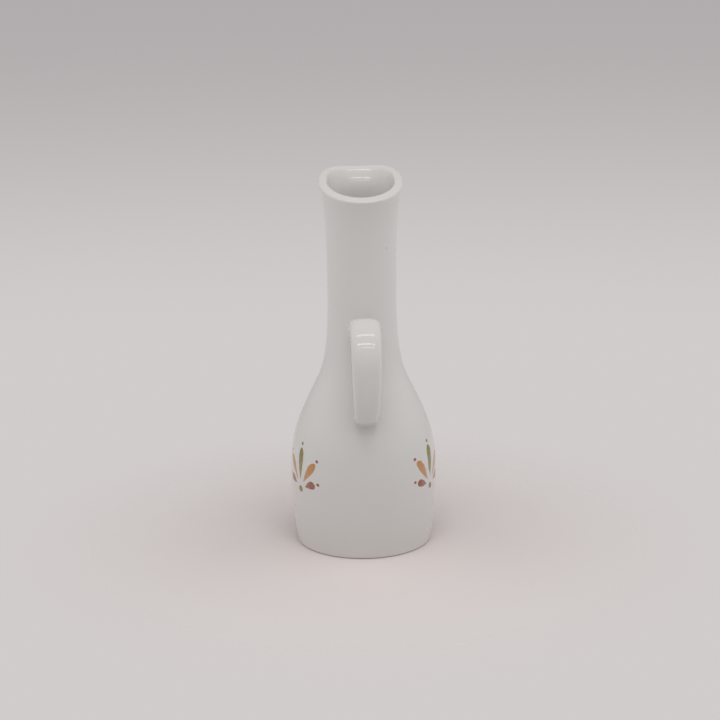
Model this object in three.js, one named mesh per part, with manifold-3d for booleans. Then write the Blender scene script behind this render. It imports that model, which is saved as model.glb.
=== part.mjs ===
// Oil jug in glazed porcelain: a slip-cast vessel with a pulled pouring lip, and a strap handle
// that is cast by itself and joined to the vessel with slip.
// Millimetres, +Z up. The lip points to +Y and the handle is on -Y.
import * as THREE from "three";
import { LoftGeometry } from "three/addons/geometries/LoftGeometry.js";
import { mergeVertices } from "three/addons/utils/BufferGeometryUtils.js";
import Module from "manifold-3d";

// Foot
const FOOT_RADIUS = 31.8; // outside of the wall, just above the rounded foot edge
const FOOT_EDGE_ROUND = 1;
const FOOT_RING_WIDTH = 4; // flat ring that the jug stands on
const FOOT_RECESS = 2; // depth of the hollow underside inside the ring

// Outer wall of the turned vessel, from the foot to the rim
const BELLY_RADIUS = 34.25;
const BELLY_HEIGHT = 36;
const SHOULDER_RADIUS = 21.3; // where the wall turns from bulging to hollow
const SHOULDER_HEIGHT = 79;
const SHOULDER_LEAN = 26.2; // degrees inwards from upright
const NECK_RADIUS = 16.05; // slimmest place
const NECK_HEIGHT = 118;
const MOUTH_RADIUS = 19.1;
const MOUTH_HEIGHT = 169.62;
const MOUTH_LEAN = 11; // degrees outwards from upright

// Fullness of each curve of the wall at its two ends, as shares of its own rise
const SHOULDER_FULLNESS = [0.39, 0.47];
const NECK_FULLNESS = [0.23, 0.46];
const FLARE_FULLNESS = [0.4, 0.33];

// Wall and floor
const WALL = 4.1;
const FLOOR = 4.2;
const FLOOR_ROUND = 8; // inside corner between floor and wall

// Pouring lip: the top of the wall curls forward, and the rim slants up towards the lip
const LIP_DEPTH = 7.5; // how far below the mouth the curl begins
const LIP_PULL = 1.5;
const LIP_CURL = 3; // a higher power curls closer to the rim
const LIP_BREADTH = 1.5; // a higher power gives a narrower lip
const LIP_DIP = 3.2; // how far the rim falls below its slant where the oil runs out
const LIP_DIP_REACH = 20; // how far to each side of the middle that fall spreads
const SLANT_DEPTH = 36; // how far below the mouth the slant begins
const SLANT_CURL = 2;
const RIM_TILT = 16; // degrees
const MOUTH_SQUARENESS = 2.4; // of the front half of the mouth: 2 is round, higher has a straighter lip
const RIM_SQUARENESS = 3.6; // 2 is a half circle, higher is flatter on top

// Handle: a strap with rounded edges, from the neck to the top of the belly
const HANDLE_UPPER_HEIGHT = 105.6; // middle of the strap at the neck wall
const HANDLE_UPPER_RISE = 40; // degrees above level, going out from the neck
const HANDLE_LOWER_HEIGHT = 67.2; // middle of the strap at the belly wall
const HANDLE_LOWER_RISE = 0; // degrees above level, going out from the belly
const GRIP_HEIGHT = 92; // where the strap stands furthest out
const FINGER_GAP = 18; // between the neck and the strap at the grip
const STRAP_UPPER_WIDTH = 14.3;
const STRAP_LOWER_WIDTH = 10;
const STRAP_UPPER_THICKNESS = 8.4;
const STRAP_LOWER_THICKNESS = 6.8;
const STRAP_UPPER_SQUARENESS = 3; // 2 is an ellipse, higher is closer to a rectangle
const STRAP_LOWER_SQUARENESS = 2.4;
const UPPER_BEND = [17.5, 12]; // length of the two ends of the upper bend
const LOWER_BEND = [15, 11]; // length of the two ends of the lower bend
const STRAP_LEAD = 4; // straight piece inside the wall, before each end is cut to the wall

// Slip joints: collars of clay between the handle's ends and the wall
const SLIP_THICKNESS = 1.6;
const SLIP_MARGIN = 1.2; // how far the collar spreads past the strap inside the wall
const SEAT_GAP = 0.3; // clearance between pieces that touch on the real jug

// Fineness of the facets
const RING_POINTS = 48;
const BELLY_STEPS = 7;
const SHOULDER_STEPS = 8;
const NECK_STEPS = 7;
const FLARE_STEPS = 14;
const FLARE_CROWDING = 1.6; // above 1, the rings of the flare crowd towards the mouth
const RIM_STEPS = 8;
const CORNER_STEPS = 4;
const STRAP_STEPS = 44;
const STRAP_POINTS = 28;
const COLLAR_STEPS = 7;
const WELD_DISTANCE = 1e-4;

const GLAZE_WHITE = 0xdedad5;
const GLAZE_ROUGHNESS = 0.14;

const wasm = await Module();
wasm.setup();

// Profile of the wall, in the plane of radius (x) and height (y)

const leaning = (degrees) =>
  new THREE.Vector2(0, 1).rotateAround(new THREE.Vector2(), -THREE.MathUtils.degToRad(degrees));
const upright = leaning(0);

// A curve from one point of the wall to the next, leaving and arriving along the given directions
function wallCurve(from, leave, to, arrive, fullness) {
  const rise = to.y - from.y;
  const first = from.clone().addScaledVector(leave, fullness[0] * rise);
  const second = to.clone().addScaledVector(arrive, -fullness[1] * rise);
  return new THREE.CubicBezierCurve(from, first, second, to);
}

const footTop = new THREE.Vector2(FOOT_RADIUS, FOOT_EDGE_ROUND);
const belly = new THREE.Vector2(BELLY_RADIUS, BELLY_HEIGHT);
const shoulder = new THREE.Vector2(SHOULDER_RADIUS, SHOULDER_HEIGHT);
const neck = new THREE.Vector2(NECK_RADIUS, NECK_HEIGHT);
const mouth = new THREE.Vector2(MOUTH_RADIUS, MOUTH_HEIGHT);
const shoulderLean = leaning(-SHOULDER_LEAN);
const bellyControl = new THREE.Vector2(BELLY_RADIUS, (FOOT_EDGE_ROUND + BELLY_HEIGHT) / 2);

const wallCurves = [
  [new THREE.QuadraticBezierCurve(footTop, bellyControl, belly), BELLY_STEPS],
  [wallCurve(belly, upright, shoulder, shoulderLean, SHOULDER_FULLNESS), SHOULDER_STEPS],
  [wallCurve(shoulder, shoulderLean, neck, upright, NECK_FULLNESS), NECK_STEPS],
  [wallCurve(neck, upright, mouth, leaning(MOUTH_LEAN), FLARE_FULLNESS), FLARE_STEPS, FLARE_CROWDING],
];

// Stations along the outer wall, each with its point and the directions along and out of the wall
const wall = wallCurves.flatMap(([curve, steps, crowding = 1], index) => {
  const stations = [];
  for (let step = index === 0 ? 0 : 1; step <= steps; step++) {
    const share = 1 - (1 - step / steps) ** crowding;
    const along = curve.getTangent(share);
    const outward = new THREE.Vector2(along.y, -along.x);
    stations.push({ point: curve.getPoint(share), along, outward });
  }
  return stations;
});
const wallOffset = (distance) =>
  wall.map(({ point, outward }) => point.clone().addScaledVector(outward, distance));

// Outer radius of the wall at a height below the lip
function wallRadius(height) {
  const above = wall.findIndex(({ point }) => point.y >= height);
  const low = wall[above - 1].point;
  const high = wall[above].point;
  return THREE.MathUtils.mapLinear(height, low.y, high.y, low.x, high.x);
}

// 1 at the mouth, falling to 0 at a depth below it
const nearMouth = (height, depth, curl) => Math.max(0, 1 + (height - MOUTH_HEIGHT) / depth) ** curl;

// How much further out the mouth reaches than a circle does, in a direction from the axis
function mouthSwell(forward, aside) {
  if (forward <= 0) {
    return 1;
  }
  const size = forward ** MOUTH_SQUARENESS + Math.abs(aside) ** MOUTH_SQUARENESS;
  return size ** (-1 / MOUTH_SQUARENESS);
}

// Moves a point of the turned vessel to its place in the finished one.
// The angle is measured from the lip, and the change grows from nothing at the start of the lip.
function pullLip(radius, height, angle) {
  const forward = Math.cos(angle);
  const aside = -Math.sin(angle);
  const slant = nearMouth(height, SLANT_DEPTH, SLANT_CURL);
  const reach = radius * THREE.MathUtils.lerp(1, mouthSwell(forward, aside), slant);
  const point = new THREE.Vector3(reach * aside, reach * forward, height);
  const front = (1 + forward) / 2;
  point.y += nearMouth(height, LIP_DEPTH, LIP_CURL) * LIP_PULL * front ** LIP_BREADTH;
  const tilt = Math.tan(THREE.MathUtils.degToRad(RIM_TILT)) * point.y;
  const dip = LIP_DIP * front ** 2 * Math.exp(-((point.x / LIP_DIP_REACH) ** 2));
  point.z += slant * (tilt - dip);
  return point;
}

function ring({ x: radius, y: height }) {
  const points = [];
  for (let index = 0; index < RING_POINTS; index++) {
    points.push(pullLip(radius, height, (index / RING_POINTS) * 2 * Math.PI));
  }
  return points;
}
const onAxis = (height) => new THREE.Vector2(0, height);

// A closed body of rings, whose profile starts and ends on the axis
const bodyOfRings = (profile) => new LoftGeometry(profile.map(ring));

// A sine or cosine that is bent to make a round shape squarer. A squareness of 2 keeps the circle.
const roundedPower = (value, squareness) => Math.sign(value) * Math.abs(value) ** (2 / squareness);

// Points of a round corner, from one direction to a second one square to it
function roundCorner(centre, radius, from, to, steps, turn = Math.PI / 2, squareness = 2) {
  const points = [];
  for (let step = 1; step < steps; step++) {
    const angle = (step / steps) * turn;
    points.push(
      centre
        .clone()
        .addScaledVector(from, radius * roundedPower(Math.cos(angle), squareness))
        .addScaledVector(to, radius * roundedPower(Math.sin(angle), squareness)),
    );
  }
  return points;
}

// Vessel

function footProfile() {
  const ringOuter = new THREE.Vector2(FOOT_RADIUS - FOOT_EDGE_ROUND, 0);
  const ringInner = new THREE.Vector2(ringOuter.x - FOOT_RING_WIDTH, 0);
  const recessEdge = new THREE.Vector2(ringInner.x - FOOT_RECESS, FOOT_RECESS);
  const edgeCentre = new THREE.Vector2(ringOuter.x, FOOT_EDGE_ROUND);
  const out = new THREE.Vector2(1, 0);
  const down = new THREE.Vector2(0, -1);
  const edge = roundCorner(edgeCentre, FOOT_EDGE_ROUND, down, out, CORNER_STEPS);
  return [onAxis(FOOT_RECESS), recessEdge, ringInner, ringOuter, ...edge];
}

function rimProfile() {
  const { point, along, outward } = wall.at(-1);
  const centre = point.clone().addScaledVector(outward, -WALL / 2);
  return roundCorner(centre, WALL / 2, outward, along, RIM_STEPS, Math.PI, RIM_SQUARENESS);
}

function innerProfile() {
  const floorHeight = FOOT_RECESS + FLOOR;
  const cornerHeight = floorHeight + FLOOR_ROUND;
  const cornerRadius = wallRadius(cornerHeight) - WALL;
  const cornerCentre = new THREE.Vector2(cornerRadius - FLOOR_ROUND, cornerHeight);
  const out = new THREE.Vector2(1, 0);
  const down = new THREE.Vector2(0, -1);
  const sides = wallOffset(-WALL).filter(({ y }) => y > cornerHeight + FLOOR_ROUND / 4);
  const cornerTop = new THREE.Vector2(cornerRadius, cornerHeight);
  const corner = roundCorner(cornerCentre, FLOOR_ROUND, out, down, CORNER_STEPS);
  const floorEdge = new THREE.Vector2(cornerCentre.x, floorHeight);
  return [...sides.reverse(), cornerTop, ...corner, floorEdge, onAxis(floorHeight)];
}

const vesselGeometry = () =>
  bodyOfRings([...footProfile(), ...wallOffset(0), ...rimProfile(), ...innerProfile()]);

// The vessel as a solid block, grown outwards by a distance, to cut what is seated on its wall
const wallBlock = (distance) =>
  solidFrom(bodyOfRings([onAxis(FOOT_EDGE_ROUND), ...wallOffset(distance), onAxis(MOUTH_HEIGHT)]));

// Solids for cutting

function solidFrom(geometry) {
  const bare = new THREE.BufferGeometry();
  bare.setAttribute("position", geometry.getAttribute("position"));
  bare.setIndex(geometry.getIndex());
  const welded = mergeVertices(bare, WELD_DISTANCE);
  const vertProperties = welded.attributes.position.array;
  const triVerts = new Uint32Array(welded.index.array);
  return new wasm.Manifold(new wasm.Mesh({ numProp: 3, vertProperties, triVerts }));
}

function geometryFrom(solid) {
  const { vertProperties, triVerts } = solid.getMesh();
  const geometry = new THREE.BufferGeometry();
  geometry.setAttribute("position", new THREE.BufferAttribute(vertProperties, 3));
  geometry.setIndex(new THREE.BufferAttribute(triVerts, 1));
  geometry.computeVertexNormals();
  return geometry;
}

// Handle

// Where the middle of the strap meets the wall, and the way it leaves the wall
function strapEnd(height, rise) {
  const point = new THREE.Vector3(0, -wallRadius(height), height);
  const angle = THREE.MathUtils.degToRad(rise);
  return { point, out: new THREE.Vector3(0, -Math.cos(angle), Math.sin(angle)) };
}

function strapPath() {
  const upper = strapEnd(HANDLE_UPPER_HEIGHT, HANDLE_UPPER_RISE);
  const lower = strapEnd(HANDLE_LOWER_HEIGHT, HANDLE_LOWER_RISE);
  const gripThickness = (STRAP_UPPER_THICKNESS + STRAP_LOWER_THICKNESS) / 2;
  const gripReach = wallRadius(GRIP_HEIGHT) + FINGER_GAP + gripThickness / 2;
  const grip = new THREE.Vector3(0, -gripReach, GRIP_HEIGHT);
  const up = new THREE.Vector3(0, 0, 1);
  // Each bend starts halfway into the wall, and a straight lead goes on from there into the vessel,
  // so that a cut along the wall leaves a full end face
  const upperStart = upper.point.clone().addScaledVector(upper.out, -WALL / 2);
  const lowerStart = lower.point.clone().addScaledVector(lower.out, -WALL / 2);
  const upperLead = upperStart.clone().addScaledVector(upper.out, -STRAP_LEAD);
  const lowerLead = lowerStart.clone().addScaledVector(lower.out, -STRAP_LEAD);
  const path = new THREE.CurvePath();
  path.add(new THREE.LineCurve3(upperLead, upperStart));
  path.add(
    new THREE.CubicBezierCurve3(
      upperStart,
      upperStart.clone().addScaledVector(upper.out, UPPER_BEND[0]),
      grip.clone().addScaledVector(up, UPPER_BEND[1]),
      grip,
    ),
  );
  path.add(
    new THREE.CubicBezierCurve3(
      grip,
      grip.clone().addScaledVector(up, -LOWER_BEND[0]),
      lowerStart.clone().addScaledVector(lower.out, LOWER_BEND[1]),
      lowerStart,
    ),
  );
  path.add(new THREE.LineCurve3(lowerStart, lowerLead));
  return path;
}

const path = strapPath();
const pathLength = path.getLength();
const acrossStrap = new THREE.Vector3(1, 0, 0);

// A section of the strap, square to its path, with a margin all round
function strapSection(share, margin) {
  const middle = path.getPoint(share);
  const along = path.getTangent(share);
  const throughStrap = along.clone().cross(acrossStrap);
  const width = THREE.MathUtils.lerp(STRAP_UPPER_WIDTH, STRAP_LOWER_WIDTH, share ** 2);
  const thickness = THREE.MathUtils.lerp(STRAP_UPPER_THICKNESS, STRAP_LOWER_THICKNESS, share);
  const squareness = THREE.MathUtils.lerp(STRAP_UPPER_SQUARENESS, STRAP_LOWER_SQUARENESS, share);
  const points = [];
  for (let index = 0; index < STRAP_POINTS; index++) {
    const angle = (index / STRAP_POINTS) * 2 * Math.PI;
    const across = roundedPower(Math.cos(angle), squareness) * (width / 2 + margin);
    const through = roundedPower(Math.sin(angle), squareness) * (thickness / 2 + margin);
    points.push(
      middle.clone().addScaledVector(acrossStrap, across).addScaledVector(throughStrap, through),
    );
  }
  return points;
}

function handleGeometry() {
  const sections = [];
  for (let step = 0; step <= STRAP_STEPS; step++) {
    sections.push(strapSection(step / STRAP_STEPS, 0));
  }
  const strap = solidFrom(new LoftGeometry(sections, { capStart: true, capEnd: true }));
  return geometryFrom(strap.subtract(wallBlock(SEAT_GAP + SLIP_THICKNESS + SEAT_GAP)));
}

// A collar round one end of the strap, widest at the wall.
// The path runs from the upper end to the lower one, so the lower collar's sections run backwards.
function collarGeometry(isLower) {
  const depth = STRAP_LEAD + WALL + SLIP_THICKNESS + SLIP_MARGIN + STRAP_UPPER_THICKNESS / 2;
  const sections = [];
  for (let step = 0; step <= COLLAR_STEPS; step++) {
    const share = ((step / COLLAR_STEPS) * depth) / pathLength;
    const margin = SLIP_MARGIN * (1 - step / COLLAR_STEPS);
    sections.push(strapSection(isLower ? 1 - share : share, margin));
  }
  if (isLower) {
    sections.reverse();
  }
  const collar = solidFrom(new LoftGeometry(sections, { capStart: true, capEnd: true }));
  const layer = wallBlock(SEAT_GAP + SLIP_THICKNESS).subtract(wallBlock(SEAT_GAP));
  return geometryFrom(collar.intersect(layer));
}

// Assembly

function glazedPiece(name, geometry) {
  const glaze = new THREE.MeshStandardMaterial({
    color: GLAZE_WHITE,
    roughness: GLAZE_ROUGHNESS,
    metalness: 0,
  });
  const piece = new THREE.Mesh(geometry, glaze);
  piece.name = name;
  return piece;
}

const jug = new THREE.Group();
jug.add(
  glazedPiece("vessel_body", vesselGeometry()),
  glazedPiece("handle", handleGeometry()),
  glazedPiece("upper_slip_joint", collarGeometry(false)),
  glazedPiece("lower_slip_joint", collarGeometry(true)),
);

// The origin is on the standing surface, midway between the front of the belly and the back of the handle
const reach = new THREE.Box3().setFromObject(jug);
jug.position.y = -(reach.min.y + reach.max.y) / 2;

const oilJug = new THREE.Group();
oilJug.add(jug);

export default oilJug;
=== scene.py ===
# %% [markdown]
# # A porcelain oil jug
# This lesson dresses a small white oil jug. The real jug is slip-cast porcelain under a clear glaze: a
# hollow vessel with a pulled pouring lip, a strap handle, and the slip that joins the handle to the wall.
# The construction model is already finished, so it is loaded first as a fixed frame. Every piece made here
# takes its place from that frame, in metres, and nothing in the frame is moved.

# %% Load the frame
import math

import bmesh
import bpy
from mathutils import Euler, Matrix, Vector


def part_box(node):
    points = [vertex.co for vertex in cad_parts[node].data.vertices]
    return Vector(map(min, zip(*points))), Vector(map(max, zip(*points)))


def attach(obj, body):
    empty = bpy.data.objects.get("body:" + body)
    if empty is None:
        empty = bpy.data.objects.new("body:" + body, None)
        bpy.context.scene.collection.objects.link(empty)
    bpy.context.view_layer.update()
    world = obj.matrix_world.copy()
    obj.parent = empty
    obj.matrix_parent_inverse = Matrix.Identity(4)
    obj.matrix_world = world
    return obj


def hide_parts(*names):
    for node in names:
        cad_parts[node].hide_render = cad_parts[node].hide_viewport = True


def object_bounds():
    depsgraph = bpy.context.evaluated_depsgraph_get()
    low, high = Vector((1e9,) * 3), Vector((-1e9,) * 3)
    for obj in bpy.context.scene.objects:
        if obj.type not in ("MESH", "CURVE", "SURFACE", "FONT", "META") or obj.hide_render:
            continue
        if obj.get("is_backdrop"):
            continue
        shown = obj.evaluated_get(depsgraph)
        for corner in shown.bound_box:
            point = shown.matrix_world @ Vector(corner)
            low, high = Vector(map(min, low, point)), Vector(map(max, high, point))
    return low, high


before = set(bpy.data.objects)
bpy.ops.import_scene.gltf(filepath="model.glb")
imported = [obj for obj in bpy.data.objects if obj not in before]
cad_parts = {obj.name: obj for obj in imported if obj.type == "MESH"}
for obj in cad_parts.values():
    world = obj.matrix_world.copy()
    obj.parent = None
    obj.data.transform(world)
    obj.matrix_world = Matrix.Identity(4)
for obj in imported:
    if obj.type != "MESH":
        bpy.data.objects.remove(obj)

MM = 0.001
cad_low, cad_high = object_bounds()
vessel_low, vessel_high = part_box("vessel_body")

# The belly is round, so the middle of the vessel's box is the jug's own axis.
AXIS_Y = (vessel_low.y + vessel_high.y) / 2
BELLY_RADIUS = (vessel_high.x - vessel_low.x) / 2
frame_height = cad_high.z - cad_low.z
print(f"The frame is {frame_height / MM:.1f} mm tall, with its axis at y = {AXIS_Y / MM:.2f} mm")

# %% [markdown]
# ## Camera
# The picture was taken from behind the jug and a little above it, with a long lens. A camera could be aimed
# by eye, but its place can also be worked out: the height of the rim's oval against its width gives the
# angle of view, and the narrowing towards the foot gives the distance. The camera stands on a circle
# round the jug's axis, so its place is an angle, a distance and a height.

# %% Place the camera
CAMERA_AROUND = math.radians(-2.8)  # from straight behind the handle, towards -X
CAMERA_DISTANCE = 870.8 * MM  # level distance from the jug's axis
CAMERA_HEIGHT = 323.8 * MM
CAMERA_PITCH = math.radians(15.21)  # below level
CAMERA_TURN = math.radians(0.077)  # turned off the axis, to the left
CAMERA_ROLL = math.radians(-0.6)
LENS = 96.5  # millimetres, on the sensor width below
SENSOR = 36.0

camera_data = bpy.data.cameras.new("photo_camera")
camera_data.lens = LENS
camera_data.sensor_width = SENSOR
camera = bpy.data.objects.new("photo_camera", camera_data)
camera.location = (
    CAMERA_DISTANCE * math.sin(CAMERA_AROUND),
    AXIS_Y - CAMERA_DISTANCE * math.cos(CAMERA_AROUND),
    CAMERA_HEIGHT,
)
heading = Euler((math.pi / 2 - CAMERA_PITCH, 0, CAMERA_AROUND + CAMERA_TURN)).to_matrix()
camera.rotation_euler = (heading @ Euler((0, 0, CAMERA_ROLL)).to_matrix()).to_euler()
bpy.context.scene.collection.objects.link(camera)
bpy.context.scene.camera = camera
bpy.context.scene.view_settings.view_transform = "Standard"
print(f"The camera is {CAMERA_DISTANCE / MM:.0f} mm away, with a {LENS} mm lens")

# %% [markdown]
# ## Writing node trees as sums
# Materials and Geometry Nodes are both node trees, and both have the same Math node. Placing such nodes one
# by one hides the formula that they stand for. Here a small class wraps a socket, and Python's own
# operators add the Math nodes, so a rule reads as it would on paper. Every other node comes from one
# method, which sets the node's options first and then fills or links its sockets.


# %% A socket that can be added and multiplied
class Wire:
    """An output socket of a node. Arithmetic on it adds Math nodes to the same tree."""

    def __init__(self, tree, socket):
        self.tree = tree
        self.socket = socket

    def out(self, name):
        """Another output of the same node."""
        return Wire(self.tree, self.socket.node.outputs[name])

    def math(self, operation, *others):
        return self.tree.math(operation, self, *others)

    def __add__(self, other):
        return self.math("ADD", other)

    def __sub__(self, other):
        return self.math("SUBTRACT", other)

    def __rsub__(self, other):
        return self.tree.math("SUBTRACT", other, self)

    def __mul__(self, other):
        return self.math("MULTIPLY", other)

    def __truediv__(self, other):
        return self.math("DIVIDE", other)

    def __rtruediv__(self, other):
        return self.tree.math("DIVIDE", other, self)

    def __pow__(self, other):
        return self.math("POWER", other)

    def __floordiv__(self, other):
        return (self / other).math("FLOOR")

    def __abs__(self):
        return self.math("ABSOLUTE")

    def __round__(self):
        return self.math("ROUND")

    __radd__ = __add__
    __rmul__ = __mul__


print("Wires can be added, subtracted, multiplied, divided, raised and rounded")


# %% A tree with one method for any node
class Tree:
    """A node tree. Its add method makes a node and returns one of the node's outputs as a Wire."""

    def __init__(self, node_tree):
        self.node_tree = node_tree

    def add(self, kind, settings=None, inputs=None, output=0):
        """Makes a node, applies its settings, then fills or links its inputs."""
        node = self.node_tree.nodes.new(kind)
        for name, value in (settings or {}).items():
            setattr(node, name, value)
        for name, value in (inputs or {}).items():
            self.fill(node.inputs[name], value)
        return Wire(self, node.outputs[output]) if node.outputs else node

    def fill(self, socket, value):
        """Links a Wire to a socket, or sets a plain value."""
        if isinstance(value, Wire):
            self.node_tree.links.new(value.socket, socket)
        else:
            socket.default_value = value

    def math(self, operation, *values):
        return self.add("ShaderNodeMath", {"operation": operation}, dict(enumerate(values)))

    def vector_math(self, operation, *values):
        return self.add("ShaderNodeVectorMath", {"operation": operation}, dict(enumerate(values)))

    def vector(self, x, y, z):
        return self.add("ShaderNodeCombineXYZ", inputs={"X": x, "Y": y, "Z": z})

    def parts(self, vector):
        """The X, Y and Z of a vector."""
        x = self.add("ShaderNodeSeparateXYZ", inputs={0: vector})
        return x, x.out("Y"), x.out("Z")

    def step(self, value, start, end):
        """A smooth step from 0 at start to 1 at end."""
        settings = {"interpolation_type": "SMOOTHSTEP"}
        inputs = {"Value": value, "From Min": start, "From Max": end}
        return self.add("ShaderNodeMapRange", settings, inputs)

    def mix(self, share, first, second):
        """A colour that goes from first to second as share goes from 0 to 1."""
        return self.add("ShaderNodeMix", {"data_type": "RGBA"}, {0: share, 6: first, 7: second}, output=2)


print("A tree adds any node by its type, its settings and its sockets")

# %% [markdown]
# ## The wall of the vessel
# On the real jug the wall is cast against a turned plaster mould, so one profile turned about the axis
# gives almost all of it. The outline could be drawn as a long row of points. A few curves hold the same
# shape with a meaning for each number: foot, belly, shoulder, neck and mouth are the places where the
# wall stands upright or leans most, and a Bezier curve joins each one to the next.

# %% Sizes of the wall
FOOT_RADIUS = 31.8 * MM
FOOT_EDGE_ROUND = 1.0 * MM
FOOT_RING_WIDTH = 4 * MM
FOOT_RECESS = 2 * MM
BELLY_HEIGHT = 36 * MM
SHOULDER_RADIUS = 21.3 * MM
SHOULDER_HEIGHT = 79 * MM
SHOULDER_LEAN = 26.2  # degrees inwards from upright
NECK_RADIUS = 16.05 * MM
NECK_HEIGHT = 118 * MM
MOUTH_RADIUS = 19.1 * MM
MOUTH_HEIGHT = 169.62 * MM
MOUTH_LEAN = 11  # degrees outwards from upright
SHOULDER_FULLNESS = (0.39, 0.47)  # of the curve up to the shoulder, where it starts and where it ends
NECK_FULLNESS = (0.23, 0.46)
MOUTH_FULLNESS = (0.4, 0.33)
WALL = 4.1 * MM
FLOOR = 4.2 * MM
FLOOR_ROUND = 8 * MM
CORNER_GAP = FLOOR_ROUND / 4  # between the inside's round corner and the first station above it
print(f"The wall is {WALL / MM} mm thick, {BELLY_RADIUS / MM:.2f} mm in radius at the belly")


# %% Curves of the wall
def bezier(knots, share):
    """Point and direction at a share of a Bezier curve, found by dividing its control line."""
    row = [Vector(knot) for knot in knots]
    while len(row) > 2:
        row = [start.lerp(end, share) for start, end in zip(row, row[1:])]
    start, end = row
    return start.lerp(end, share), (end - start).normalized()


def leaning(degrees):
    """A direction in the plane of radius and height, leaning outwards from upright."""
    return Vector((math.sin(math.radians(degrees)), math.cos(math.radians(degrees))))


def wall_curve(start, leave, end, arrive, fullness):
    """A curve that leaves and arrives along two directions. Fullness is a share of its own rise."""
    rise = end.y - start.y
    return start, start + leave * rise * fullness[0], end - arrive * rise * fullness[1], end


upright = leaning(0)
shoulder_lean = leaning(-SHOULDER_LEAN)
foot_top = Vector((FOOT_RADIUS, FOOT_EDGE_ROUND))
belly = Vector((BELLY_RADIUS, BELLY_HEIGHT))
belly_control = Vector((BELLY_RADIUS, (FOOT_EDGE_ROUND + BELLY_HEIGHT) / 2))
shoulder = Vector((SHOULDER_RADIUS, SHOULDER_HEIGHT))
neck = Vector((NECK_RADIUS, NECK_HEIGHT))
mouth = Vector((MOUTH_RADIUS, MOUTH_HEIGHT))
wall_curves = (
    (foot_top, belly_control, belly),
    wall_curve(belly, upright, shoulder, shoulder_lean, SHOULDER_FULLNESS),
    wall_curve(shoulder, shoulder_lean, neck, upright, NECK_FULLNESS),
    wall_curve(neck, upright, mouth, leaning(MOUTH_LEAN), MOUTH_FULLNESS),
)
print(f"{len(wall_curves)} curves make the wall from foot to mouth")

# %% Stations along the wall
WALL_STEPS = (16, 24, 24, 80)  # for each curve; the lip needs the finest

wall = [bezier(wall_curves[0], 0)]
for curve, steps in zip(wall_curves, WALL_STEPS):
    wall += [bezier(curve, step / steps) for step in range(1, steps + 1)]


def outward(along):
    """Direction out of the wall, square to its own direction."""
    return Vector((along.y, -along.x))


def wall_radius(height):
    """Outer radius of the wall at a height below the lip."""
    for (low, _), (high, _) in zip(wall, wall[1:]):
        if low.y <= height <= high.y:
            return low.lerp(high, (height - low.y) / (high.y - low.y)).x
    raise ValueError("the height is outside the wall")


def wall_normal(height):
    """Direction out of the wall at a height, in the plane of radius and height."""
    nearest = min(wall, key=lambda station: abs(station[0].y - height))
    return outward(nearest[1])


print(f"{len(wall)} stations; the neck is {wall_radius(NECK_HEIGHT) / MM:.2f} mm in radius")

# %% [markdown]
# ## One closed profile
# The vessel is a solid wall, so its profile runs from the axis under the foot, up the outside, over the
# rim, down the inside and back to the axis. The foot ring, the rim and the inside corner are round, because
# clay has no sharp edges after casting and sponging.

# %% Foot, rim and inside
EDGE_STEPS = 10
RIM_STEPS = 20
RIM_SQUARENESS = 3.6  # 2 is a half circle, higher is flatter on top
RING_EDGE_ROUND = 0.7 * MM
OUT = Vector((1, 0))
UP = Vector((0, 1))


def rounded_power(value, squareness):
    """A sine or cosine, reshaped so that a circle becomes a squarer ring."""
    return math.copysign(abs(value) ** (2 / squareness), value)


def arc(centre, first, second, radius, steps, turn=math.pi / 2, squareness=2):
    """Points of a round edge, from one direction towards a second one square to it."""
    points = []
    for step in range(steps + 1):
        angle = turn * step / steps
        reach = first * rounded_power(math.cos(angle), squareness)
        points.append(centre + (reach + second * rounded_power(math.sin(angle), squareness)) * radius)
    return points


def softened(before, corner, after, radius):
    """A corner of the profile, rounded off."""
    start = corner + (before - corner).normalized() * radius
    end = corner + (after - corner).normalized() * radius
    return [bezier((start, corner, end), step / EDGE_STEPS)[0] for step in range(EDGE_STEPS + 1)]


def foot_profile():
    """From the axis under the recess, round the foot ring and up to the wall."""
    under = Vector((0, FOOT_RECESS))
    ring_outer = Vector((FOOT_RADIUS - FOOT_EDGE_ROUND, 0))
    ring_inner = ring_outer - OUT * FOOT_RING_WIDTH
    recess_edge = ring_inner + Vector((-FOOT_RECESS, FOOT_RECESS))
    edge_centre = ring_outer + UP * FOOT_EDGE_ROUND
    return [
        under,
        *softened(under, recess_edge, ring_inner, RING_EDGE_ROUND),
        *softened(recess_edge, ring_inner, ring_outer, RING_EDGE_ROUND),
        *arc(edge_centre, -UP, OUT, FOOT_EDGE_ROUND, EDGE_STEPS),
    ]


def rim_profile():
    """Over the top of the wall, from outside to inside."""
    point, along = wall[-1]
    out = outward(along)
    return arc(point - out * WALL / 2, out, along, WALL / 2, RIM_STEPS, math.pi, RIM_SQUARENESS)


def inner_profile():
    """Down the inside and across the floor of the oil space to the axis."""
    floor_height = FOOT_RECESS + FLOOR
    corner_height = floor_height + FLOOR_ROUND
    corner_radius = wall_radius(corner_height) - WALL
    centre = Vector((corner_radius - FLOOR_ROUND, corner_height))
    sides = [point - outward(along) * WALL for point, along in wall]
    sides = [point for point in sides if point.y > corner_height + CORNER_GAP]
    corner = arc(centre, OUT, -UP, FLOOR_ROUND, EDGE_STEPS)
    return [*reversed(sides[:-1]), *corner, Vector((0, floor_height))]


profile = [*foot_profile(), *[point for point, along in wall[1:-1]], *rim_profile(), *inner_profile()]
print(f"The closed profile has {len(profile)} points")

# %% [markdown]
# ## White glaze
# The finish is a clear glass skin over warm white porcelain. A plain white gloss would look like plastic.
# Real glaze is a little uneven: its tone drifts by a few hundredths, its gloss varies with its thickness,
# the surface has long shallow waves, and a few iron specks and pinholes show. The foot ring is wiped clean
# of glaze before firing so that the jug doesn't stick to the kiln shelf, and it stays matt and darker.
# All of this is worked out from Object coordinates, so it stays in place on every piece.

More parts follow.
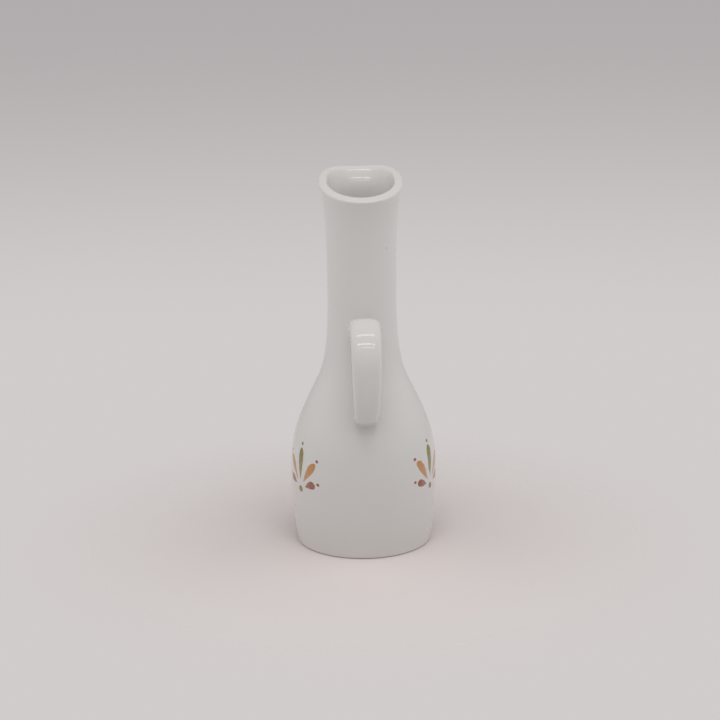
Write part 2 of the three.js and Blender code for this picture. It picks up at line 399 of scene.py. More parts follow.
# %% Colours and sizes of the glaze
GLAZE_WHITE = (0.700, 0.682, 0.664, 1)
GLAZE_COOL = (0.684, 0.672, 0.660, 1)
BISCUIT = (0.600, 0.545, 0.485, 1)
SPECK_BROWN = (0.130, 0.105, 0.080, 1)
TONE_SIZE = 30 * MM  # width of a patch of slightly different tone
WAVE_SIZE = 16 * MM  # width of the shallow waves in the glaze
WAVE_HEIGHT = 0.02 * MM
GRAIN_SIZE = 0.35 * MM  # grain of the bare foot ring
GRAIN_HEIGHT = 0.03 * MM
SPECK_SPACING = 17 * MM
SPECK_RADIUS = 0.28 * MM
SPECK_SHARE = 0.30  # how many of the places for a speck have one
SPECK_LEAST = 0.5  # size of the smallest speck, against the speck radius
SPECK_EDGE = (0.5, 1.0)  # shares of its radius between which a speck fades out
NECK_SPECK = (10.8 * MM, -7.75 * MM, 142.75 * MM)  # one more speck, high on the back of the neck
NECK_SPECK_RADIUS = 0.55 * MM
NECK_SPECK_STRENGTH = 0.3
GLAZE_LINE = 0.35 * MM  # height of the edge of the glaze above the standing surface
GLAZE_LINE_DRIFT = 0.2 * MM
GLAZE_LINE_WAVE = 6 * MM  # length of the waves in that edge
GLAZE_LINE_EDGE = 0.05 * MM  # it fades this far to both sides
GLAZE_IOR = 1.5
GLAZE_ROUGHNESS = 0.08
ROUGHNESS_DRIFT = 0.02
BISCUIT_ROUGHNESS = 0.8
NOISE_DETAIL = 2.0
NOISE_MIDDLE = 0.5  # the noise goes from 0 to 1
print(f"The glaze stops {GLAZE_LINE / MM} mm above the table")


# %% Specks, bare foot and waves
def noise(tree, place, size):
    """Smooth noise from 0 to 1, with features of a given size."""
    inputs = {"Vector": place, "Scale": 1 / size, "Detail": NOISE_DETAIL}
    return tree.add("ShaderNodeTexNoise", inputs=inputs)


def specks(tree, place):
    """A mask of a few small round specks."""
    inputs = {"Vector": place, "Scale": 1 / SPECK_SPACING}
    distance = tree.add("ShaderNodeTexVoronoi", inputs=inputs)
    draw, size_draw, _ = tree.parts(distance.out("Color"))
    radius = (SPECK_LEAST + size_draw) * (SPECK_RADIUS / SPECK_SPACING)
    inside = 1 - tree.step(distance / radius, *SPECK_EDGE)
    from_neck_speck = tree.vector_math("DISTANCE", place, NECK_SPECK).out("Value")
    on_neck = 1 - tree.step(from_neck_speck / NECK_SPECK_RADIUS, *SPECK_EDGE)
    drawn = inside * draw.math("LESS_THAN", SPECK_SHARE)
    return drawn.math("MAXIMUM", on_neck * NECK_SPECK_STRENGTH)


def bare_foot(tree, place):
    """A mask of the ring that the glaze was wiped from."""
    _, _, height = tree.parts(place)
    drift = (noise(tree, place, GLAZE_LINE_WAVE) - NOISE_MIDDLE) * GLAZE_LINE_DRIFT
    return 1 - tree.step(height - (GLAZE_LINE + drift), -GLAZE_LINE_EDGE, GLAZE_LINE_EDGE)


def glaze_surface(tree, place, bare):
    """The normal of the surface: long waves in the glaze, and fine grain where the foot is bare."""
    waves = noise(tree, place, WAVE_SIZE) * WAVE_HEIGHT * (1 - bare)
    grain = noise(tree, place, GRAIN_SIZE) * GRAIN_HEIGHT * bare
    # The heights are in metres already, so strength and distance stay at 1.
    inputs = {"Strength": 1.0, "Distance": 1.0, "Height": waves + grain}
    return tree.add("ShaderNodeBump", inputs=inputs)


print("Specks, bare foot and waves are ready")

# %% [markdown]
# ## Painted sprays
# White oil jugs of this kind carry a little painted decoration round the belly. Here it is a row of
# five sprays, each a fan of five brush strokes with a dot at every tip, in olive, ochre and russet, with
# a small spray alone on the front of the neck. They could be painted on an image, but one spray can be
# written as a rule in polar coordinates and then repeated by folding the angle round the jug. It stays
# sharp at any size.

# %% Sizes of the sprays
OLIVE = (0.235, 0.190, 0.040, 1)
OCHRE = (0.520, 0.235, 0.070, 1)
RUSSET = (0.290, 0.085, 0.040, 1)
SPRAY_HEIGHT = 30 * MM  # foot of each spray on the belly
SPRAY_SPACING = math.radians(59)
SPRAY_LAST = 2  # sprays on each side of the front one
SMALL_SPRAY = 0.8  # size of every second spray
NECK_SPRAY_HEIGHT = 101 * MM
NECK_SPRAY = 0.72
BELLY_TOP = 82 * MM  # above this the sprays belong to the neck
STROKE_STEP = math.radians(31)
STROKE_LAST = 2  # strokes on each side of the middle one
STROKE_START = 4.0 * MM
STROKE_LENGTHS = (20 * MM, 2.2 * MM)  # the middle stroke, and how much shorter each next one is
STROKE_HALF_WIDTH = 2.1 * MM
STROKE_BEND = 5.0  # per metre, how much the outer strokes droop
TIP_DOT_GAP = 1.9 * MM
TIP_DOT_RADIUS = 0.95 * MM
FOOT_DOT_RADIUS = 1.7 * MM
PAINT_EDGE = 0.22 * MM
HAND_SIZE = 5 * MM  # length of the wobbles of the painter's hand
HAND_WOBBLE = 1.2 * MM
WASH = 0.62  # strength of the paint where a stroke starts
WASH_TO_TIP = 0.2  # how much stronger it is at the tip
WASH_GRAIN = 0.3
WASH_GRAIN_SIZE = 1.5 * MM
DOT_STRENGTH = 0.9
MIDDLE_RANK_END = 0.5  # strokes are ranked 0, 1, 2 from the middle; these limits lie between the ranks
OUTER_RANK_START = 1.5
OUTSIDE_SHARE = 0.92  # of the outer radius; the inside of the wall is nearer to the axis and unpainted
print(f"{2 * SPRAY_LAST + 1} sprays, {math.degrees(SPRAY_SPACING):.0f} degrees apart")


# %% One spray as a rule
def folded(angle, step, last):
    """Which copy of a repeated motif an angle belongs to, and the angle inside that copy."""
    copy = round(angle / step).math("MAXIMUM", -last).math("MINIMUM", last)
    return copy, angle - copy * step


def dot(tree, across, along, radius):
    """A mask of one round dot."""
    distance = (across * across + along * along).math("SQRT")
    return 1 - tree.step(distance, radius - PAINT_EDGE, radius)


def spray(tree, across, along):
    """Masks of one spray's strokes and dots, each stroke's rank and the share of the way along it."""
    reach = (across * across + along * along).math("SQRT")
    stroke, turn = folded(across.math("ARCTAN2", along), STROKE_STEP, STROKE_LAST)
    rank = abs(stroke)
    ahead = reach * turn.math("COSINE")
    aside = reach * turn.math("SINE") + ahead * ahead * stroke * -STROKE_BEND
    length = STROKE_LENGTHS[0] - rank * rank * STROKE_LENGTHS[1]
    share = ((ahead - STROKE_START) / (length - STROKE_START)).math("MAXIMUM", 0).math("MINIMUM", 1)
    half_width = share * (1 - share * share).math("SQRT") * (2 * STROKE_HALF_WIDTH)
    body = tree.step(half_width - abs(aside), 0, PAINT_EDGE)
    tip = dot(tree, aside, ahead - length - TIP_DOT_GAP, TIP_DOT_RADIUS)
    foot = dot(tree, across, along, FOOT_DOT_RADIUS)
    return body, tip, foot, rank, share


print(f"One spray has {2 * STROKE_LAST + 1} strokes")


# %% Sprays round the jug
def painted(tree, place, white):
    """The white of the glaze with the sprays painted on it."""
    x, y, height = tree.parts(place)
    forward = y - AXIS_Y
    angle = (x * -1).math("ARCTAN2", forward)
    on_neck = height.math("GREATER_THAN", BELLY_TOP)
    copy, turn = folded(angle, SPRAY_SPACING, SPRAY_LAST)
    every_second = abs(copy).math("MODULO", 2) * (1 - on_neck)
    size = 1 - every_second * (1 - SMALL_SPRAY) - on_neck * (1 - NECK_SPRAY)
    radius = BELLY_RADIUS - on_neck * (BELLY_RADIUS - NECK_RADIUS)
    outside = (x * x + forward * forward).math("SQRT").math("GREATER_THAN", radius * OUTSIDE_SHARE)
    foot_height = SPRAY_HEIGHT + on_neck * (NECK_SPRAY_HEIGHT - SPRAY_HEIGHT)
    hand = (noise(tree, place, HAND_SIZE) - NOISE_MIDDLE) * HAND_WOBBLE
    across = (turn + on_neck * copy * SPRAY_SPACING) * radius / size + hand
    body, tip, foot, rank, share = spray(tree, across, (height - foot_height) / size + hand)

    outer = rank.math("GREATER_THAN", OUTER_RANK_START)
    inner = rank.math("LESS_THAN", MIDDLE_RANK_END)
    stroke_colour = tree.mix(outer, tree.mix(inner, OCHRE, OLIVE), RUSSET)
    other_colour = tree.mix(outer, tree.mix(inner, OLIVE, RUSSET), OCHRE)
    stroke_colour = tree.mix(every_second, stroke_colour, other_colour)
    wash = WASH + share * WASH_TO_TIP + noise(tree, place, WASH_GRAIN_SIZE) * WASH_GRAIN
    coloured = tree.mix(body * wash.math("MINIMUM", 1), white, stroke_colour)
    coloured = tree.mix(tip * DOT_STRENGTH, coloured, RUSSET)
    coloured = tree.mix(foot * DOT_STRENGTH, coloured, OLIVE)
    return tree.mix(outside, white, coloured)


print("The sprays repeat round the belly, with one on the neck")


# %% The glaze as a material
def porcelain(name, has_sprays):
    """Glazed porcelain, with or without the painted sprays."""
    material = bpy.data.materials.new(name)
    material.use_nodes = True
    material.node_tree.nodes.clear()
    tree = Tree(material.node_tree)
    place = tree.add("ShaderNodeTexCoord", output="Object")
    tone = noise(tree, place, TONE_SIZE)
    bare = bare_foot(tree, place)
    white = tree.mix(tone, GLAZE_WHITE, GLAZE_COOL)
    if has_sprays:
        white = painted(tree, place, white)
    white = tree.mix(specks(tree, place), white, SPECK_BROWN)
    gloss = GLAZE_ROUGHNESS + tone * ROUGHNESS_DRIFT
    inputs = {
        "Base Color": tree.mix(bare, white, BISCUIT),
        "Roughness": gloss + bare * (BISCUIT_ROUGHNESS - gloss),
        "IOR": GLAZE_IOR,
        "Normal": glaze_surface(tree, place, bare),
    }
    shader = tree.add("ShaderNodeBsdfPrincipled", inputs=inputs)
    tree.add("ShaderNodeOutputMaterial", inputs={"Surface": shader})
    return material


white_glaze = porcelain("white_glaze", has_sprays=False)
sprayed_glaze = porcelain("sprayed_glaze", has_sprays=True)
print(f"{len(sprayed_glaze.node_tree.nodes)} nodes make the painted glaze")

# %% [markdown]
# ## Vessel
# The vessel is turned, and then its mouth is pulled: the top of the wall curls forward into the lip, the
# rim slants up to the lip, and it falls a little where the oil runs out. Spinning the profile and
# then sculpting the lip would work too, but the pull is a rule, so Geometry Nodes can follow it: a grid
# takes one row for each point of the profile and one column for each angle, and every point of the grid is
# set to its place. The lip's sizes are inputs of the tree, so they can be changed without touching it.

# %% Helpers for Geometry Nodes
SOCKET_KINDS = {int: "NodeSocketInt", float: "NodeSocketFloat", bpy.types.Material: "NodeSocketMaterial"}


def geometry_tree(name, sizes):
    """An empty Geometry Nodes tree with one named input for each size, and its input wires by name."""
    group = bpy.data.node_groups.new(name, "GeometryNodeTree")
    group.interface.new_socket("Geometry", in_out="INPUT", socket_type="NodeSocketGeometry")
    for label, value in sizes.items():
        group.interface.new_socket(label, in_out="INPUT", socket_type=SOCKET_KINDS[type(value)])
    group.interface.new_socket("Geometry", in_out="OUTPUT", socket_type="NodeSocketGeometry")
    tree = Tree(group)
    first = tree.add("NodeGroupInput")
    return tree, {label: first.out(label) for label in ("Geometry", *sizes)}


def line_object(name, points, attributes=None):
    """A mesh of one line of points, with numbers for each point, that a tree grows a piece from."""
    mesh = bpy.data.meshes.new(name)
    mesh.from_pydata(points, [(index, index + 1) for index in range(len(points) - 1)], [])
    for label, values in (attributes or {}).items():
        mesh.attributes.new(label, "FLOAT", "POINT").data.foreach_set("value", values)
    line = bpy.data.objects.new(name, mesh)
    bpy.context.scene.collection.objects.link(line)
    return line


def grown(line, tree, sizes):
    """Runs a tree on a line and keeps the result as the object's own plain mesh."""
    modifier = line.modifiers.new(tree.node_tree.name, "NODES")
    modifier.node_group = tree.node_tree
    for item in tree.node_tree.interface.items_tree:
        if item.in_out == "INPUT" and item.name in sizes:
            modifier[item.identifier] = sizes[item.name]
    evaluated = line.evaluated_get(bpy.context.evaluated_depsgraph_get())
    mesh = bpy.data.meshes.new_from_object(evaluated)
    line.modifiers.remove(modifier)
    line.data = mesh
    return line


print("Trees are made with named inputs and turned into plain meshes")


# %% A grid along a line
WELD = 0.002 * MM


def grid_along(tree, inputs, columns):
    """A grid with a row for each point of the line, and the row and the turn of each grid point."""
    rows = tree.add("GeometryNodeAttributeDomainSize", inputs={"Geometry": inputs["Geometry"]})
    across = columns + 1
    grid = tree.add("GeometryNodeMeshGrid", inputs={"Vertices X": rows, "Vertices Y": across})
    index = tree.add("GeometryNodeInputIndex")
    row = index // across
    turn = (index - row * across) / columns * (2 * math.pi)
    return grid, row, turn


def at_row(tree, inputs, row, value, kind):
    """A value of the line at a row."""
    sockets = {"Geometry": inputs["Geometry"], "Value": value, "Index": row}
    settings = {"data_type": kind, "domain": "POINT", "clamp": True}
    return tree.add("GeometryNodeSampleIndex", settings, sockets)


def close_grid(tree, inputs, grid, position):
    """Moves the grid into place, welds its seam and poles, and gives it its material."""
    moved = tree.add("GeometryNodeSetPosition", inputs={"Geometry": grid, "Position": position})
    welded = tree.add("GeometryNodeMergeByDistance", inputs={"Geometry": moved, "Distance": WELD})
    smooth = tree.add("GeometryNodeSetShadeSmooth", inputs={"Geometry": welded})
    real = tree.add("GeometryNodeRealizeInstances", inputs={"Geometry": smooth})
    sockets = {"Geometry": real, "Material": inputs["Material"]}
    finished = tree.add("GeometryNodeSetMaterial", inputs=sockets)
    tree.add("NodeGroupOutput", inputs={"Geometry": finished})


print(f"Seams and poles are welded within {WELD / MM} mm")


# %% Grow the vessel
def vessel_tree(sizes):
    """Turns the profile about the axis, then squares, slants and pulls the mouth."""
    tree, inputs = geometry_tree("turned_and_pulled_vessel", sizes)
    grid, row, turn = grid_along(tree, inputs, inputs["Columns"])
    position = tree.add("GeometryNodeInputPosition")
    radius, _, height = tree.parts(at_row(tree, inputs, row, position, "FLOAT_VECTOR"))

    def near_mouth(part):
        share = 1 + (height - inputs["Mouth height"]) / inputs[part + " depth"]
        return share.math("MAXIMUM", 0) ** inputs[part + " curl"]

    forward = turn.math("COSINE")
    aside = turn.math("SINE") * -1
    slant = near_mouth("Slant")
    squareness = inputs["Mouth squareness"]
    swell = (abs(forward) ** squareness + abs(aside) ** squareness) ** (-1 / squareness)
    reach = radius * (1 + slant * forward.math("GREATER_THAN", 0) * (swell - 1))
    x = reach * aside
    front = (1 + forward) / 2
    y = reach * forward + near_mouth("Lip") * inputs["Lip pull"] * front ** inputs["Lip breadth"]
    spread = x / inputs["Lip dip reach"]
    dip = inputs["Lip dip"] * front * front * (spread * spread * -1).math("EXPONENT")
    z = height + slant * (inputs["Rim tilt"].math("TANGENT") * y - dip)
    close_grid(tree, inputs, grid, tree.vector(x, y + inputs["Axis"], z))
    return tree


vessel_sizes = {
    "Columns": 192,
    "Mouth height": MOUTH_HEIGHT,
    "Axis": AXIS_Y,
    "Lip depth": 7.5 * MM,
    "Lip curl": 3.0,
    "Lip pull": 1.5 * MM,
    "Lip breadth": 1.5,
    "Lip dip": 3.2 * MM,
    "Lip dip reach": 20 * MM,
    "Slant depth": 36 * MM,
    "Slant curl": 2.0,
    "Rim tilt": math.radians(16),
    "Mouth squareness": 2.4,
    "Material": sprayed_glaze,
}
vessel = line_object("vessel", [(point.x, 0, point.y) for point in profile])
grown(vessel, vessel_tree(vessel_sizes), vessel_sizes)
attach(vessel, "root")
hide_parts("vessel_body")
print(f"The vessel has {len(vessel.data.polygons)} faces")

# %% [markdown]
# ## Strap handle
# The handle is a strap with soft edges, cast by itself. It leaves the neck with a short rise, turns down
# through the grip and meets the top of the belly. It is a sweep: one rounded section carried along a path,
# a little narrower at each step. A curve with a bevel could do that, but the section changes on the way and
# both ends have to be cut to the round wall, so a second tree carries the section itself.

# %% Path of the strap
HANDLE_UPPER_HEIGHT = 105.6 * MM
HANDLE_UPPER_RISE = 40  # degrees above level, going out from the wall
HANDLE_LOWER_HEIGHT = 67.2 * MM
HANDLE_LOWER_RISE = 0
GRIP_HEIGHT = 92 * MM
FINGER_GAP = 18 * MM
STRAP_WIDTHS = (14.3 * MM, 10 * MM)  # upper and lower end
STRAP_THICKNESSES = (8.4 * MM, 6.8 * MM)
STRAP_SQUARENESSES = (3.0, 2.4)  # 2 is an ellipse, higher is closer to a rectangle
UPPER_BEND = (17.5 * MM, 12 * MM)  # how far each end of a bend keeps its direction
LOWER_BEND = (15 * MM, 11 * MM)
PATH_STEPS = 200  # for each of the two bends


def strap_end(height, rise):
    """Where the middle of the strap starts, halfway into the wall, and the way it leaves the wall."""
    out = Vector((0, -math.cos(math.radians(rise)), math.sin(math.radians(rise))))
    return Vector((0, AXIS_Y - wall_radius(height), height)) - out * WALL / 2, out


upper_start, upper_out = strap_end(HANDLE_UPPER_HEIGHT, HANDLE_UPPER_RISE)
lower_start, lower_out = strap_end(HANDLE_LOWER_HEIGHT, HANDLE_LOWER_RISE)
strap_depth = sum(STRAP_THICKNESSES) / len(STRAP_THICKNESSES)
grip_reach = wall_radius(GRIP_HEIGHT) + FINGER_GAP + strap_depth / 2
grip = Vector((0, AXIS_Y - grip_reach, GRIP_HEIGHT))
high = Vector((0, 0, 1))
bends = (
    (upper_start, upper_start + upper_out * UPPER_BEND[0], grip + high * UPPER_BEND[1], grip),
    (grip, grip - high * LOWER_BEND[0], lower_start + lower_out * LOWER_BEND[1], lower_start),
)
path = [bezier(bend, step / PATH_STEPS)[0] for bend in bends for step in range(PATH_STEPS)]
path.append(lower_start)
run = [0.0]
for start, end in zip(path, path[1:]):
    run.append(run[-1] + (end - start).length)
path_length = run[-1]
print(f"The strap is {path_length / MM:.1f} mm long, and a finger has {FINGER_GAP / MM} mm")


# %% Places along the strap
def strap_at(distance):
    """Middle and direction of the strap at a distance along it."""
    if distance <= 0:
        return upper_start, upper_out
    if distance >= path_length:
        return lower_start, -lower_out
    index = next(step for step in range(1, len(run)) if run[step] >= distance)
    share = (distance - run[index - 1]) / (run[index] - run[index - 1])
    ahead = (path[index] - path[index - 1]).normalized()
    return path[index - 1].lerp(path[index], share), ahead


def strap_size(distance):
    """Half the width, half the thickness and the squareness of the strap at a distance along it."""
    share = min(max(distance / path_length, 0), 1)
    width = STRAP_WIDTHS[0] + (STRAP_WIDTHS[1] - STRAP_WIDTHS[0]) * share**2
    thickness = STRAP_THICKNESSES[0] + (STRAP_THICKNESSES[1] - STRAP_THICKNESSES[0]) * share
    squareness = STRAP_SQUARENESSES[0] + (STRAP_SQUARENESSES[1] - STRAP_SQUARENESSES[0]) * share
    return width / 2, thickness / 2, squareness


width, thickness, _ = strap_size(path_length / 2)
print(f"Halfway, the strap is {2 * width / MM:.1f} by {2 * thickness / MM:.1f} mm")

# %% [markdown]
# ## Cutting the strap's ends to the wall
# A section square to the path would stand out of the round neck at its corners and reach through the
# wall at its middle. So near each end a section is bent into the wall's own shape: its points slide
# along the strap, by the square of their distance from the middle for the roundness of the wall, and by
# their depth for its slope. The line of the path carries these amounts for the tree.

# %% Rows of the strap
STRAP_ROWS = 110
END_BLEND = 9 * MM  # over this length the bent sections turn into square ones

stations = [path_length * step / STRAP_ROWS for step in range(STRAP_ROWS + 1)]
stations = [stations[0], *stations, stations[-1]]  # the doubled ends close the strap


def end_share(distance):
    """1 at an end of the strap, and 0 from the end blend on."""
    share = min(max(1 - distance / END_BLEND, 0), 1)
    return share * share * (3 - 2 * share)


def wall_slope(height, rise):
    """Slope between the strap's section and the wall, at an end."""
    normal = wall_normal(height)
    return math.tan(math.radians(rise) - math.atan2(normal.y, normal.x))


upper_slope = wall_slope(HANDLE_UPPER_HEIGHT, HANDLE_UPPER_RISE)
lower_slope = wall_slope(HANDLE_LOWER_HEIGHT, HANDLE_LOWER_RISE)
upper_round = 1 / (2 * wall_radius(HANDLE_UPPER_HEIGHT))
lower_round = 1 / (2 * wall_radius(HANDLE_LOWER_HEIGHT))


def end_cut(distance):
    """How far a section's points slide along the strap, by their depth and by the square of their side."""
    at_upper, at_lower = end_share(distance), end_share(path_length - distance)
    slope = upper_slope * at_upper + lower_slope * at_lower
    return slope, lower_round * at_lower - upper_round * at_upper


strap_rows = {"half_width": [], "half_thickness": [], "squareness": [], "end_slope": [], "end_round": []}
for distance in stations:
    for label, value in zip(strap_rows, (*strap_size(distance), *end_cut(distance))):
        strap_rows[label].append(value)
for label in ("half_width", "half_thickness"):
    strap_rows[label][0] = strap_rows[label][-1] = 0.0
slope_degrees = math.degrees(math.atan(upper_slope))
print(f"{len(stations)} rows; the neck slopes {slope_degrees:.1f} degrees to the strap")


# %% Grow the strap
def strap_tree(sizes):
    """Carries the rounded section along the path, with its ends bent to the wall."""
    tree, inputs = geometry_tree("strap_along_path", sizes)
    grid, row, turn = grid_along(tree, inputs, inputs["Columns"])
    position = tree.add("GeometryNodeInputPosition")

    def middle_at(step):
        return at_row(tree, inputs, row + step, position, "FLOAT_VECTOR")

    def number(label):
        named = tree.add("GeometryNodeInputNamedAttribute", {"data_type": "FLOAT"}, {"Name": label})
        return at_row(tree, inputs, row, named, "FLOAT")

    def rounded(value):
        return value.math("SIGN") * abs(value) ** (2 / number("squareness"))

    direction = tree.vector_math("SUBTRACT", middle_at(1), middle_at(-1))
    ahead = tree.vector_math("NORMALIZE", direction)
    through = tree.vector_math("CROSS_PRODUCT", ahead, (1, 0, 0))
    side = rounded(turn.math("COSINE")) * number("half_width")
    depth = rounded(turn.math("SINE")) * number("half_thickness")
    slide = depth * number("end_slope") + side * side * number("end_round")
    offset = tree.vector(side, 0, 0)
    for way, amount in ((through, depth), (ahead, slide)):
        scaled = tree.add("ShaderNodeVectorMath", {"operation": "SCALE"}, {"Vector": way, "Scale": amount})
        offset = tree.vector_math("ADD", offset, scaled)
    close_grid(tree, inputs, grid, tree.vector_math("ADD", middle_at(0), offset))
    return tree


strap_sizes = {"Columns": 88, "Material": white_glaze}
strap = line_object("strap_handle", [strap_at(distance)[0] for distance in stations], strap_rows)
grown(strap, strap_tree(strap_sizes), strap_sizes)
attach(strap, "root")
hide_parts("handle")
print(f"The strap has {len(strap.data.polygons)} faces")

# %% [markdown]
# ## Slip joints
# The handle is luted to the vessel with slip, which is liquid clay. What squeezes out is wiped into a soft
# hollow fillet all round. A bevel on a joined mesh could imitate it, but vessel and handle are separate
# pieces. So for each angle round the strap the script finds where the strap's surface meets the wall, steps
# back along the strap and along the wall by the size of the fillet, and joins the two with a curve that is
# tangent to both. A hidden corner inside the clay closes each ring.

# %% Where strap and wall meet
FILLET = 0.9 * MM
FILLET_STEPS = 12
FILLET_COLUMNS = 96
SINK = 0.015 * MM  # the fillet's edges lie this far under the two surfaces
BURIED = 0.7 * MM  # depth of the hidden corner
SEARCH_REACH = 9 * MM  # the strap is clear of the wall this far along
SEARCH_STEPS = 40
NUDGE = 0.05 * MM  # step along the strap that gives its direction
TURN_NUDGE = 0.01  # radians, the step round the strap for the same
SHARP_EDGE = math.radians(40)  # edges that turn more than this are not smoothed


def strap_point(angle, distance):
    """A point of the strap's surface, at an angle round it and a distance along it."""
    middle, ahead = strap_at(distance)
    half_width, half_thickness, squareness = strap_size(distance)
    through = ahead.cross(Vector((1, 0, 0)))
    side = rounded_power(math.cos(angle), squareness) * half_width
    depth = rounded_power(math.sin(angle), squareness) * half_thickness
    slope, roundness = end_cut(distance)
    return middle + Vector((side, 0, 0)) + through * depth + ahead * (depth * slope + side**2 * roundness)


def outside_wall(point):
    """Distance of a point from the wall, measured level. It is negative inside."""
    return math.hypot(point.x, point.y - AXIS_Y) - wall_radius(point.z)


def normal_of_wall(point):
    """Direction out of the wall at the height of a point."""
    normal = wall_normal(point.z)
    level = Vector((point.x, point.y - AXIS_Y, 0)).normalized()
    return level * normal.x + Vector((0, 0, normal.y))


def meeting(angle, inside, outside):
    """Distance along the strap where its surface crosses the wall at an angle."""
    for _ in range(SEARCH_STEPS):
        middle = (inside + outside) / 2
        if outside_wall(strap_point(angle, middle)) < 0:
            inside = middle
        else:
            outside = middle
    return (inside + outside) / 2


print(f"The fillet of slip is {FILLET / MM} mm wide")


# %% Make the slip joints
def fillet_section(angle, inside, outside):
    """Section of the fillet at an angle round the strap, as a closed loop of points."""
    way = math.copysign(1, outside - inside)
    crossing = meeting(angle, inside, outside)
    corner = strap_point(angle, crossing)
    along_strap = strap_point(angle, crossing + way * NUDGE) - corner
    turned_on = strap_point(angle + TURN_NUDGE, crossing)
    round_strap = turned_on - strap_point(angle - TURN_NUDGE, crossing)
    strap_normal = along_strap.cross(round_strap).normalized() * -way
    wall_out = normal_of_wall(corner)
    along_wall = (strap_normal - wall_out * strap_normal.dot(wall_out)).normalized()
    upper = strap_point(angle, crossing + way * FILLET) - strap_normal * SINK
    lower = corner + along_wall * FILLET
    lower -= normal_of_wall(lower) * outside_wall(lower)
    lower -= wall_out * SINK
    steps = [bezier((upper, corner, lower), step / FILLET_STEPS)[0] for step in range(FILLET_STEPS + 1)]
    return [*steps, corner - (strap_normal + wall_out) * BURIED]


def slip_joint(name, inside, outside, node):
    """The ring of slip between one end of the strap and the wall."""
    columns = [
        fillet_section(2 * math.pi * column / FILLET_COLUMNS, inside, outside)
        for column in range(FILLET_COLUMNS)
    ]
    points = FILLET_STEPS + 2
    faces = []
    for column in range(FILLET_COLUMNS):
        start = column * points
        after = (column + 1) % FILLET_COLUMNS * points
        for point in range(points):
            other = (point + 1) % points
            faces.append((start + point, start + other, after + other, after + point))
    mesh = bpy.data.meshes.new(name)
    mesh.from_pydata([point for column in columns for point in column], [], faces)
    shape = bmesh.new()
    shape.from_mesh(mesh)
    bmesh.ops.recalc_face_normals(shape, faces=shape.faces)
    for edge in shape.edges:
        edge.smooth = edge.calc_face_angle() < SHARP_EDGE
    for face in shape.faces:
        face.smooth = True
    shape.to_mesh(mesh)
    shape.free()
    mesh.materials.append(white_glaze)
    joint = bpy.data.objects.new(name, mesh)
    bpy.context.scene.collection.objects.link(joint)
    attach(joint, "root")
    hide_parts(node)
    return joint


upper_joint = slip_joint("upper_slip", 0, SEARCH_REACH, "upper_slip_joint")
lower_joint = slip_joint("lower_slip", path_length, path_length - SEARCH_REACH, "lower_slip_joint")
joint_faces = len(upper_joint.data.polygons) + len(lower_joint.data.polygons)
print(f"The two slip joints have {joint_faces} faces")

# %% [markdown]
# ## Floor, light and background
# The jug stands on a plain pale floor in soft studio light. One panel hangs over it and one nearer to the
# camera. They give the soft shading but aren't mirrored in the glaze. Three brighter strips draw the short
# highlights on the handle and inside the lip. The floor fades into the background. The background colour
# is seen by the camera and in reflections only, so it doesn't light the jug. The light of the room is set
# apart from it: dim from above, brighter from below and brightest from the sides.

# %% Floor
FLOOR_COLOUR = (0.790, 0.733, 0.716, 1)
FLOOR_ROUGHNESS = 0.8
FLOOR_DROP = 0.05 * MM  # a hair under the foot, so that the two faces don't coincide
FLOOR_REACH = 900 * MM
FLOOR_FADE = (45 * MM, 180 * MM)  # distances from the middle between which it fades out
FLOOR_POINTS = 96

floor_mesh = bpy.data.meshes.new("floor")
floor_shape = bmesh.new()
bmesh.ops.create_circle(floor_shape, cap_ends=True, segments=FLOOR_POINTS, radius=FLOOR_REACH)
bmesh.ops.translate(floor_shape, verts=floor_shape.verts, vec=(0, 0, -FLOOR_DROP))
floor_shape.to_mesh(floor_mesh)
floor_shape.free()
floor = bpy.data.objects.new("floor", floor_mesh)
bpy.context.scene.collection.objects.link(floor)
floor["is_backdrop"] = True

floor_material = bpy.data.materials.new("pale_floor")
floor_material.use_nodes = True
floor_material.node_tree.nodes.clear()
floor_tree = Tree(floor_material.node_tree)
floor_x, floor_y, _ = floor_tree.parts(floor_tree.add("ShaderNodeTexCoord", output="Object"))
from_jug = (floor_x * floor_x + floor_y * floor_y).math("SQRT")
paper_inputs = {"Base Color": FLOOR_COLOUR, "Roughness": FLOOR_ROUGHNESS}
paper = floor_tree.add("ShaderNodeBsdfPrincipled", inputs=paper_inputs)
clear = floor_tree.add("ShaderNodeBsdfTransparent")
fade = floor_tree.step(from_jug, *FLOOR_FADE)
faded = floor_tree.add("ShaderNodeMixShader", inputs={0: fade, 1: paper, 2: clear})
floor_tree.add("ShaderNodeOutputMaterial", inputs={"Surface": faded})
floor_mesh.materials.append(floor_material)
print(f"The floor fades out {FLOOR_FADE[1] / MM:.0f} mm from the jug")


# %% Lamps
def panel(name, place, size, brightness):
    """A level rectangular lamp that shines down. Brightness is that of its surface."""
    lamp = bpy.data.lights.new(name, "AREA")
    lamp.shape = "RECTANGLE"
    lamp.size, lamp.size_y = size
    lamp.energy = brightness * math.pi * size[0] * size[1]
    holder = bpy.data.objects.new(name, lamp)
    holder.location = place
    holder.visible_camera = False
    bpy.context.scene.collection.objects.link(holder)
    return holder


PANEL_ASIDE = 40 * MM  # to the right of the jug, as the camera sees it
PANEL_HEIGHT = 950 * MM
PANEL_SIZE = (600 * MM, 600 * MM)
PANELS = {  # place along Y from the jug's axis, the camera being on -Y, and brightness
    "overhead_panel": (-195 * MM, 1.85),
    "front_panel": (-620 * MM, 0.85),
}
STRIP_HEIGHT = 900 * MM
STRIP_WIDTH = 60 * MM
STRIPS = {  # place along Y, length and brightness
    "back_strip": (-182 * MM, 680 * MM, 4.5),
    "front_strip": (-634 * MM, 960 * MM, 6.5),
    "edge_strip": (-855 * MM, 1050 * MM, 4.0),
}

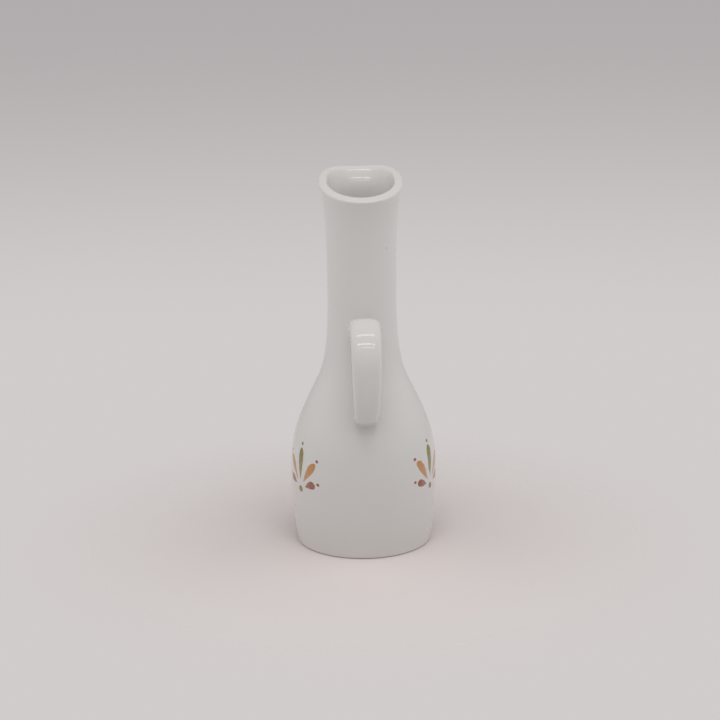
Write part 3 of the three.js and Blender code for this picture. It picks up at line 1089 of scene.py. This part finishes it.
for name, (from_axis, brightness) in PANELS.items():
    place = (PANEL_ASIDE, AXIS_Y + from_axis, PANEL_HEIGHT)
    soft_panel = panel(name, place, PANEL_SIZE, brightness)
    soft_panel.visible_glossy = False  # only the strips are mirrored in the glaze
for name, (from_axis, length, brightness) in STRIPS.items():
    panel(name, (0, AXIS_Y + from_axis, STRIP_HEIGHT), (length, STRIP_WIDTH), brightness)
print(f"{len(PANELS)} panels and {len(STRIPS)} strips light the jug from above")

# %% Background
ROOM_LIGHT = (0.190, 0.183, 0.182, 1)  # from above
ROOM_BELOW = (0.520, 0.505, 0.502, 1)
ROOM_SIDES = (0.900, 0.877, 0.871, 1)
BACKGROUND_LOW = (0.635, 0.604, 0.597, 1)
BACKGROUND_HIGH = (0.440, 0.420, 0.425, 1)
BACKGROUND_FADE = (-0.25, -0.08)  # rise of the direction of view, from low to high background
ROOM_FADE = (-0.15, 0.15)  # rise of a direction, from the light below to the light above
SIDES_FADE = (0.3, 0.9)  # how far a direction points aside, up to the light of the sides

world = bpy.data.worlds.new("studio")
bpy.context.scene.world = world
world.use_nodes = True
world.node_tree.nodes.clear()
world_tree = Tree(world.node_tree)
aside, _, rise = world_tree.parts(world_tree.add("ShaderNodeTexCoord", output="Generated"))
backdrop = world_tree.mix(world_tree.step(rise, *BACKGROUND_FADE), BACKGROUND_LOW, BACKGROUND_HIGH)
light_path = world_tree.add("ShaderNodeLightPath")
seen = light_path + light_path.out("Is Glossy Ray") + light_path.out("Is Transmission Ray")
room = world_tree.mix(world_tree.step(rise, *ROOM_FADE), ROOM_BELOW, ROOM_LIGHT)
room = world_tree.mix(world_tree.step(abs(aside), *SIDES_FADE), room, ROOM_SIDES)
shown = world_tree.mix(seen.math("MINIMUM", 1), room, backdrop)
world_shader = world_tree.add("ShaderNodeBackground", inputs={"Color": shown, "Strength": 1.0})
world_tree.add("ShaderNodeOutputWorld", inputs={"Surface": world_shader})
print("The background is pale, and the room light comes mostly from the sides")

# %% [markdown]
# ## Last look at the size
# A dressed piece should stay inside the construction model, so both boxes are worked out side by side.

# %% Work out both boxes and finish
visual_low, visual_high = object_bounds()
boxes = {"cad": [list(cad_low), list(cad_high)], "visual": [list(visual_low), list(visual_high)]}
print(f"The dressed jug is {(visual_high.z - visual_low.z) / MM:.1f} mm tall")
